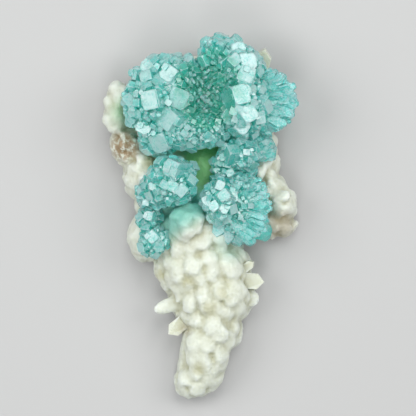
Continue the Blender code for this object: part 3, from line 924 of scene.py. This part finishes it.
# %% Places of the stilbite's lobes and blades
STATED_BLADES = [  # foot, tip and width
    ((-2.0, -29.6, 8.0), (-9.8, -36.0, 8.5), 4.4),
    ((8.0, -19.0, 9.0), (19.8, -19.9, 9.5), 4.8),
    ((12.0, -17.0, 10.0), (16.4, -13.6, 12.0), 2.6),
    ((16.6, 39.0, 9.0), (19.8, 51.4, 12.5), 5.4),
]
STATED_LOBES = [  # x, y, width, length and azimuth
    (-13.4, -16.5, 3.4, 6.0, -80),
    (-11.6, -20.6, 4.2, 6.0, -75),
    (-8.1, -20.5, 4.6, 9.4, -64),
    (-9.6, -13.5, 4.6, 5.0, -60),
    (-3.3, -26.6, 4.8, 6.0, -100),
    (-1.5, -31.2, 4.8, 5.4, -80),
    (-1.5, -37.6, 6.0, 8.0, -95),
    (-5.0, -40.0, 3.6, 6.0, -110),
    (5.2, -34.9, 6.0, 8.4, -40),
    (7.4, -29.4, 4.8, 6.6, -30),
    (6.2, -41.2, 6.2, 7.6, -60),
    (-2.2, -43.0, 5.6, 6.0, -100),
    (6.0, -45.2, 5.0, 6.4, -50),
    (-4.2, -49.0, 5.6, 6.6, -120),
    (-0.8, -52.4, 5.4, 5.6, -90),
    (13.2, -29.2, 3.6, 4.6, -50),
    (-7.0, 0.8, 5.4, 5.4, -90),
    (-3.6, -4.6, 5.0, 4.6, -90),
    (-0.4, 0.4, 4.8, 5.2, -60),
    (11.0, -34.4, 3.6, 4.6, -50),
    (-26.0, 40.0, 4.6, 4.8, 100),
    (-28.0, 34.6, 4.6, 5.2, 150),
    (-28.4, 29.4, 4.2, 4.8, 190),
    (-26.2, 26.6, 3.8, 4.4, 200),
    (-22.6, 38.0, 4.0, 5.0, 80),
    (28.0, 6.4, 4.4, 4.4, 20),
    (28.2, 0.6, 4.4, 4.8, -10),
    (26.2, -4.0, 4.6, 4.8, -40),
    (21.4, 12.6, 4.4, 4.4, 30),
    (20.2, 17.0, 4.4, 4.6, 40),
    (13.0, -11.4, 3.6, 4.0, -20),
    (0.7, -22.4, 4.0, 9.0, -86),
    (5.8, -21.3, 4.0, 9.0, -84),
    (-2.2, -14.8, 6.2, 6.2, -100),
    (2.9, -12.4, 5.2, 5.4, -80),
    (9.4, -15.0, 6.6, 9.0, -50),
    (11.4, -21.6, 6.0, 8.0, -40),
]
STATED_RODS = [((0.0, -23.9, 7.0), (-14.6, -28.8, 9.5), 5.2), ((7.0, -22.6, 7.0), (18.4, -25.8, 8.0), 6.4)]
TAIL_STARTS = -8.0
PLATE_MIDDLE = 15.0
SMOOTH_PLACES = [(1.6, 15.0, 9.0), (-25.0, 34.0, 9.0)]  # x, y and radius
print(len(STATED_LOBES) + len(STATED_RODS), "stated lobes", len(STATED_BLADES), "stated blades")

# %% [markdown]
# A lobe is a ball, a little boxy, stretched along its blade. A sharp blade is a slab whose end
# is cut to a gable.

# %% Forms of a lobe and a blade
def blade_form():
    """A blade 2 wide, with a gable at its tip."""
    bm = bmesh.new()
    bmesh.ops.create_cube(bm, size=2.0)
    bmesh.ops.scale(bm, vec=(1, 0.62, 2.0), verts=bm.verts)
    bmesh.ops.translate(bm, vec=(0, 0, -2.0), verts=bm.verts)
    for side in (-1, 1):
        cut_face(bm, Vector((0, 0, -0.05)), Vector((side * 0.9, 0, 1)).normalized())
    bmesh.ops.recalc_face_normals(bm, faces=bm.faces)
    return Form(bm)


def lobe_form(boxiness=0.8, detail=2):
    """A ball of radius 1, a little boxy."""
    bm = bmesh.new()
    for vert in bmesh.ops.create_icosphere(bm, subdivisions=detail, radius=1.0)["verts"]:
        vert.co = Vector(math.copysign(abs(part) ** boxiness, part) for part in vert.co)
    return Form(bm)


BLADE_FORM = blade_form()
LOBE_FORM = lobe_form()
print("faces of a blade and a lobe:", len(BLADE_FORM.faces), len(LOBE_FORM.faces))


class Lobe:
    """A round-ended blade, flat across a normal and long one way."""

    def __init__(self, point, normal, way, width, length):
        side = normal.cross(way).normalized()
        self.axes = np.array([side * width / 2, way.cross(side) * width * 0.3, way * length / 2])
        self.point = np.array(point)
        self.form = LOBE_FORM
        self.tone = 0.0

    def points(self):
        return self.form.points @ self.axes + self.point


def lying_lobe(lump, point, way, width, length, lift=0.14):
    """A lobe that lies on a lump and points along its surface, with its tip a little lifted."""
    normal = lump.normal(point)
    way = (way - normal * way.dot(normal)).normalized()
    return Lobe(point, normal, (way + normal * lift).normalized(), width, length)


def stated_lobes():
    lobes = []
    for x, y, width, length, azimuth in STATED_LOBES:
        point, lump = top_of(MATRIX, x, y)
        turn = math.radians(azimuth)
        lobes.append(lying_lobe(lump, point, Vector((math.cos(turn), math.sin(turn), 0)), width, length))
    for foot, tip, width in STATED_RODS:
        run = Vector(tip) - Vector(foot)
        middle = (Vector(foot) + Vector(tip)) / 2
        lobes.append(Lobe(middle, Vector((0, 0, 1)), run.normalized(), width, run.length))
    return lobes


# %% [markdown]
# Smaller lobes fill the rest of the stilbite. On the tail they point down it, and on the plate
# outward. The valley and the left flange are smoother on the real one, so none of these are
# scattered there.

# %% Scatter the other lobes
LOWEST_LOBE = 2.0
LOBE_UNREST = 0.4


def is_smooth(point):
    return any((point.xy - Vector((x, y))).length < radius for x, y, radius in SMOOTH_PLACES)


def is_open(point, lump):
    """True if a place on a stilbite lump shows and isn't one of the smooth ones."""
    if point.z < LOWEST_LOBE or is_smooth(point):
        return False
    if any(other.holds(point, 0.5) for other in MATRIX if other is not lump):
        return False
    return not any(core.holds(point, -0.5) for druse in DRUSES.values() for core in druse.cores)


def outward(point, chance):
    """Down the tail, or away from the plate's middle, with some unrest."""
    if point.y < TAIL_STARTS:
        away = Vector((0, -1, 0))
    else:
        away = Vector((point.x, point.y - PLATE_MIDDLE, 0)).normalized()
    return away + (Vector((point.x * 0.05, 0, 0)) + scatter(chance) * LOBE_UNREST)


def scattered_lobes(stated, width, length, spacing, tries):
    """Lobes over the open surface, no closer to one another or to the stated ones than the spacing."""
    chance = random.Random("stilbite" + str(width))
    stood = [Vector(lobe.point) for lobe in stated]
    lobes = []
    for lump in MATRIX:
        for _ in range(tries):
            point = lump.surface(any_direction(chance))
            if not is_open(point, lump) or any((point - other).length < spacing for other in stood):
                continue
            stood.append(point)
            away = outward(point, chance)
            size = chance.uniform(0.75, 1.25)
            lobes.append(lying_lobe(lump, point, away, width * size, length * size))
    return lobes


# %% [markdown]
# A voxel remesh melts lumps and lobes together, and a smoothing leaves them as soft as they
# look. The sharp blades join afterwards, so that they keep their edges. A little noise along
# the normals gives the sugary unevenness of the real surface.

# %% Build the stilbite
VOXEL = 0.42
SOFTENING = 24
UNEVENNESS = ((0.24, 0.4), (0.16, 1.2))  # height in millimetres, and waves to a millimetre
SMOOTH_SHARE = 0.6


def stated_blades():
    chance = random.Random("stated")
    blades = []
    for foot, tip, width in STATED_BLADES:
        run = Vector(tip) - Vector(foot)
        blade = Crystal(Vector(tip), run.normalized(), width, run.length, [BLADE_FORM], chance)
        blade.place = run.to_track_quat("Z", "Y").to_matrix()
        blades.append(blade)
    return blades


def build_stilbite():
    bm = bmesh.new()
    for lump in MATRIX:
        add_lump(bm, lump)
    body = new_object("stilbite_matrix_blades", bm)
    stated = stated_lobes()
    large = scattered_lobes(stated, 4.4, 7.0, 3.8, 400)
    small = scattered_lobes(stated, 2.8, 4.6, 3.2, 300)
    print(len(stated), "stated", len(large), "large and", len(small), "small lobes")
    planted = crystals_object("lobes", stated + large + small)
    bm = bmesh.new()
    bm.from_mesh(body.data)
    bm.from_mesh(planted.data)
    bpy.data.objects.remove(planted, do_unlink=True)
    bm.to_mesh(body.data)
    bm.free()
    melt = body.modifiers.new("melt", "REMESH")
    melt.mode = "VOXEL"
    melt.voxel_size = VOXEL * MM
    soften = body.modifiers.new("soften", "SMOOTH")
    soften.iterations = SOFTENING
    apply_modifiers(body)
    return body


def roughen(body):
    """Moves each point along its normal by a noise of two sizes."""
    normals = [vert.normal.copy() for vert in body.data.vertices]
    for vert, normal in zip(body.data.vertices, normals):
        place = vert.co / MM
        rise = sum(height * noise.noise(place * waves) for height, waves in UNEVENNESS)
        if is_smooth(place - SHIFT):
            rise *= SMOOTH_SHARE
        vert.co += normal * rise * MM


stilbite_piece = build_stilbite()
roughen(stilbite_piece)
join_all(stilbite_piece, [crystals_object("blade", [blade]) for blade in stated_blades()])
print("stilbite", len(stilbite_piece.data.polygons), "faces")


# %% [markdown]
# The remesh also closed the underside, which reaches below the floor. A flat cut makes the
# broken back. Each point then notes how far it stands proud of a much smoother copy of the
# surface, so that the material can tell tips from recesses.

# %% Cut the back flat and mark the relief
def cut_back(body):
    bm = bmesh.new()
    bm.from_mesh(body.data)
    bmesh.ops.holes_fill(bm, edges=cut_away(bm, (0, 0, 0), (0, 0, -1)))
    bm.to_mesh(body.data)
    bm.free()


BLADE_RELIEF = 1.4  # only on the corners of the sharp blades, whose edges are long
SHARP_ANGLE = 38


def mark_relief(body, rounds=24):
    mesh = body.data
    points = np.empty(len(mesh.vertices) * 3)
    mesh.vertices.foreach_get("co", points)
    points = points.reshape(-1, 3)
    normals = np.empty(len(mesh.vertices) * 3)
    mesh.vertices.foreach_get("normal", normals)
    normals = normals.reshape(-1, 3)
    pairs = np.empty(len(mesh.edges) * 2, dtype=int)
    mesh.edges.foreach_get("vertices", pairs)
    start, end = pairs.reshape(-1, 2).T
    count = np.bincount(pairs, minlength=len(points))[:, None]
    smooth = points.copy()
    for _ in range(rounds):
        total = np.zeros_like(smooth)
        np.add.at(total, start, smooth[end])
        np.add.at(total, end, smooth[start])
        smooth = total / count
    relief = ((points - smooth) * normals).sum(axis=1) / MM
    relief = np.where(relief > BLADE_RELIEF, 0.0, relief)
    mesh.attributes.new("relief", "FLOAT", "POINT").data.foreach_set("value", relief)
    print("relief", round(float(relief.min()), 2), round(float(relief.max()), 2), "mm")


cut_back(stilbite_piece)
mark_relief(stilbite_piece)
stilbite_piece.data.shade_smooth()
stilbite_piece.data.set_sharp_from_angle(angle=math.radians(SHARP_ANGLE))


# %% [markdown]
# The materials are written as expressions. A small class wraps a socket, so that adding or
# multiplying two sockets adds the Math node that does it.

# %% Shader sums
class Socket:
    """A node's output that can be added, multiplied and so on."""

    def __init__(self, shader, link):
        self.shader = shader
        self.link = link

    def maths(self, operation, other):
        return self.shader.node("ShaderNodeMath", {"operation": operation}, {0: self, 1: other})

    def __add__(self, other):
        return self.maths("ADD", other)

    def __sub__(self, other):
        return self.maths("SUBTRACT", other)

    def __mul__(self, other):
        return self.maths("MULTIPLY", other)

    def __rsub__(self, other):
        return (self * -1.0) + other

    __radd__ = __add__
    __rmul__ = __mul__

    def clamped(self):
        return self.shader.node("ShaderNodeClamp", {}, {"Value": self})

    def between(self, low, high):
        """0 at low, 1 at high, and smooth between."""
        settings = {"interpolation_type": "SMOOTHSTEP"}
        inputs = {"Value": self, "From Min": low, "From Max": high}
        return self.shader.node("ShaderNodeMapRange", settings, inputs)


class Shader:
    """A material's node tree, and the few kinds of node that these finishes need."""

    def __init__(self, name):
        self.material = bpy.data.materials.new(name)
        self.material.use_nodes = True
        self.tree = self.material.node_tree
        self.surface = self.tree.nodes["Principled BSDF"]
        self.output = self.tree.nodes["Material Output"]

    def node(self, kind, settings, inputs, output=0):
        made = self.tree.nodes.new(kind)
        for setting, value in settings.items():
            setattr(made, setting, value)
        for socket, value in inputs.items():
            self.feed(made.inputs[socket], value)
        return Socket(self, made.outputs[output])

    def feed(self, socket, value):
        if isinstance(value, Socket):
            self.tree.links.new(value.link, socket)
        else:
            socket.default_value = value

    def set(self, **inputs):
        for name, value in inputs.items():
            self.feed(self.surface.inputs[name.replace("_", " ")], value)

    def attribute(self, name):
        return self.node("ShaderNodeAttribute", {"attribute_name": name}, {}, "Fac")

    def place(self):
        return self.node("ShaderNodeTexCoord", {}, {}, "Object")

    def noise(self, size, detail=3.0, rough=0.55):
        """Noise from 0 to 1, whose features are about size millimetres across."""
        inputs = {"Vector": self.place(), "Scale": 1.0 / (size * MM), "Detail": detail, "Roughness": rough}
        return self.node("ShaderNodeTexNoise", {}, inputs, "Fac")

    def steps(self, size):
        """Small square pits and mounds, like the steps on a growing crystal face."""
        settings = {"distance": "CHEBYCHEV"}
        inputs = {"Vector": self.place(), "Scale": 1.0 / (size * MM)}
        return self.node("ShaderNodeTexVoronoi", settings, inputs, "Distance")

    def mix(self, share, first, second):
        settings = {"data_type": "RGBA"}
        return self.node("ShaderNodeMix", settings, {0: share, 6: first, 7: second}, 2)

    def bump(self, height, strength, distance):
        inputs = {"Height": height, "Strength": strength, "Distance": distance * MM}
        return self.node("ShaderNodeBump", {}, inputs)


def colour(red, green, blue):
    return (red, green, blue, 1.0)


# %% [markdown]
# Apophyllite is clear, and green from a trace of vanadium. Its base colour also carries painted light and
# painted shade: tips and upward faces are painted paler, bevelled rims and needles are painted bright as
# glints, and the hollow and the low places between crystals are painted deeper green as shade. It is
# see-through here, with some absorption, and fine flecks stand for the veils inside it. The pearly lustre
# is a patchy coat, strongest on the basal faces. Square pits and a gentle wave break up the mirror of a
# flat top.

# %% Apophyllite
# The first colour is painted shade, laid on the hollow and on the low places between crystals.
PAINTED_SHADE_GREEN = colour(0.03, 0.56, 0.37)
TEAL = colour(0.12, 0.78, 0.72)
PALE = colour(0.64, 0.98, 1.0)
INSIDE = colour(0.12, 0.88, 0.78)  # the colour of light after a long way through a crystal
ABSORPTION = 40.0
CLEARNESS = 0.65
CRYSTAL_IOR = 1.535
PEARL_IOR = 1.7


def apophyllite():
    shader = Shader("apophyllite")
    height = shader.attribute("height")
    hollow = shader.attribute("hollow")
    lustre = shader.attribute("lustre")
    tone = shader.attribute("tone")
    cloud = shader.noise(2.4)
    fleck = shader.noise(0.65, detail=4.0, rough=0.75)
    grain = shader.noise(0.5, detail=4.0)
    steps = shader.steps(0.7)
    rise = height.between(0.2, 3.4)
    bright = tone.between(0.75, 1.1)
    speckle = (cloud - 0.5) * 1.5 + (fleck - 0.5) * 3.2
    # Painted light: higher tips and upward faces are painted paler, and bevelled rims and needles are
    # painted bright as glints. Random tone and flecks also vary the paleness.
    pale = (rise * 0.3 + lustre * 0.3 + (tone - 0.5) * 1.1 + bright * 0.3 + speckle + 0.2).clamped()
    body = shader.mix(pale, TEAL, PALE)
    # Painted shade: the hollow and the low places between crystals are painted deeper green. Bevelled rims
    # and needles are kept out of it as painted glints.
    painted_shade = (hollow * (0.7 - rise * 0.5) + (0.12 - rise * 1.2).clamped() - bright * 0.6).clamped()
    shader.set(
        Base_Color=shader.mix(painted_shade, body, PAINTED_SHADE_GREEN),
        Roughness=(grain * 0.2 + (1.0 - lustre) * 0.06 + 0.02).clamped(),
        Metallic=0.0,
        IOR=CRYSTAL_IOR,
        Transmission_Weight=CLEARNESS,
        Subsurface_Weight=0.4,
        Subsurface_Radius=(0.6, 1.0, 0.9),
        Subsurface_Scale=2.0 * MM,
        Coat_Weight=(lustre * 0.6 + 0.2 + (fleck - 0.5) * 1.6).clamped(),
        Coat_Roughness=0.26,
        Coat_IOR=PEARL_IOR,
        Normal=shader.bump(steps * 0.8 + grain + cloud * 2.4, 0.7, 0.2),
    )
    inputs = {"Color": INSIDE, "Density": ABSORPTION}
    absorb = shader.node("ShaderNodeVolumeAbsorption", {}, inputs)
    shader.feed(shader.output.inputs["Volume"], absorb)
    return shader.material


# %% [markdown]
# Stilbite is cream, pearly and milky: light goes in and comes out a few millimetres away. Tips are painted
# whiter, as a painted highlight. Recesses are painted darker and yellow-brown, partly as a stain and partly
# as painted shade. It is green next to the apophyllite and olive in the valley, an iron patch marks its
# left side and a tan lobe its right. These are soft round spots in plan, laid over one another, because a
# map would have to be painted.

# %% Stilbite
CREAM = colour(0.52, 0.54, 0.43)
WHITE = colour(0.64, 0.68, 0.64)
# This colour serves the stains at given places and also the painted shade in recesses.
STAIN_AND_SHADE = colour(0.36, 0.35, 0.19)
IRON = colour(0.23, 0.145, 0.055)
OLIVE = colour(0.13, 0.36, 0.13)
GLOW = colour(0.14, 0.42, 0.35)
STILBITE_IOR = 1.5
SPOTS = [  # x, y, radius, soft rim, colour and strength
    (-11.0, -1.0, 6.0, 3.0, GLOW, 0.8),
    (-4.6, 2.6, 5.4, 3.0, GLOW, 0.8),
    (9.0, -8.0, 5.0, 3.0, GLOW, 0.3),
    (0.0, 6.0, 5.0, 3.0, GLOW, 1.0),
    (1.6, 16.0, 8.0, 3.0, OLIVE, 1.0),
    (-22.5, 32.0, 4.0, 3.0, OLIVE, 0.6),
    (24.5, -2.6, 4.4, 2.0, IRON, 0.45),
]
IRON_PATCH = (-23.0, 21.5, 4.4, 2.4)  # x, y, radius and soft rim
RECESSES = [  # x, y, radius, colour and strength
    (-3.3, -20.5, 2.4, STAIN_AND_SHADE, 0.7),
    (2.9, -27.9, 2.2, STAIN_AND_SHADE, 0.6),
    (7.7, -23.0, 2.6, STAIN_AND_SHADE, 0.5),
    (-0.4, -46.3, 1.8, STAIN_AND_SHADE, 0.6),
    (-12.2, -17.6, 1.8, STAIN_AND_SHADE, 0.6),
    (-4.4, -34.5, 1.3, IRON, 0.5),
    (-14.6, 17.0, 2.6, STAIN_AND_SHADE, 0.8),
]


def spot(shader, x, y, radius, soft):
    """1 within a radius of a place in plan, fading out over a soft rim, in millimetres."""
    centre = ((x + SHIFT.x) * MM, (y + SHIFT.y) * MM, 0.0)
    inputs = {0: shader.place(), 1: (1.0, 1.0, 0.0)}
    in_plan = shader.node("ShaderNodeVectorMath", {"operation": "MULTIPLY"}, inputs)
    away = shader.node("ShaderNodeVectorMath", {"operation": "DISTANCE"}, {0: in_plan, 1: centre}, "Value")
    return 1.0 - away.between((radius - soft) * MM, (radius + soft) * MM)


def stilbite():
    shader = Shader("stilbite")
    relief = shader.attribute("relief")
    cloud = shader.noise(6.0)
    grain = shader.noise(1.1, detail=5.0, rough=0.72)
    tip = relief.between(-0.3, 0.9)
    # Tips are painted whiter, a painted highlight where the light falls on them.
    body = shader.mix((tip * 0.7 + cloud * 0.3).clamped(), CREAM, WHITE)
    # Recesses are painted darker and yellow-brown, partly a stain and partly painted shade.
    low = (1.0 - relief.between(-0.7, 0.25)) * cloud.between(0.3, 0.58)
    body = shader.mix(low * 0.8, body, STAIN_AND_SHADE)
    for x, y, radius, soft, tint, share in SPOTS:
        body = shader.mix(spot(shader, x, y, radius, soft) * share, body, tint)
    for x, y, radius, stain, share in RECESSES:
        body = shader.mix(spot(shader, x, y, radius, 1.6) * cloud.between(0.3, 0.5) * share, body, stain)
    pits = shader.noise(2.0, detail=4.0, rough=0.7)
    body = shader.mix(spot(shader, *IRON_PATCH) * pits.between(0.38, 0.54) * 0.9, body, IRON)
    shader.set(
        Base_Color=body,
        Roughness=(grain * 0.3 + 0.25).clamped(),
        Metallic=0.0,
        IOR=STILBITE_IOR,
        Subsurface_Weight=0.75,
        Subsurface_Radius=(1.0, 0.98, 0.8),
        Subsurface_Scale=2.2 * MM,
        Coat_Weight=(tip * 0.4 + (grain - 0.5) * 1.2).clamped(),
        Coat_Roughness=0.22,
        Normal=shader.bump(grain, 0.9, 0.45),
    )
    return shader.material


# %% [markdown]
# The floor only has to be pale and quiet.

# %% Floor finish
def floor_finish():
    shader = Shader("floor_paper")
    shader.set(Base_Color=colour(0.40, 0.40, 0.395), Roughness=0.9)
    return shader.material


floor.data.materials.append(floor_finish())


# %% [markdown]
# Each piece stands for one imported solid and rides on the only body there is.

# %% Dress the pieces
def dress(piece, finish, node):
    piece.data.materials.clear()
    piece.data.materials.append(finish)
    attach(piece, "root")
    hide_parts(node)


green = apophyllite()
for node, piece in druse_pieces.items():
    dress(piece, green, node)
dress(stilbite_piece, stilbite(), "stilbite_matrix")
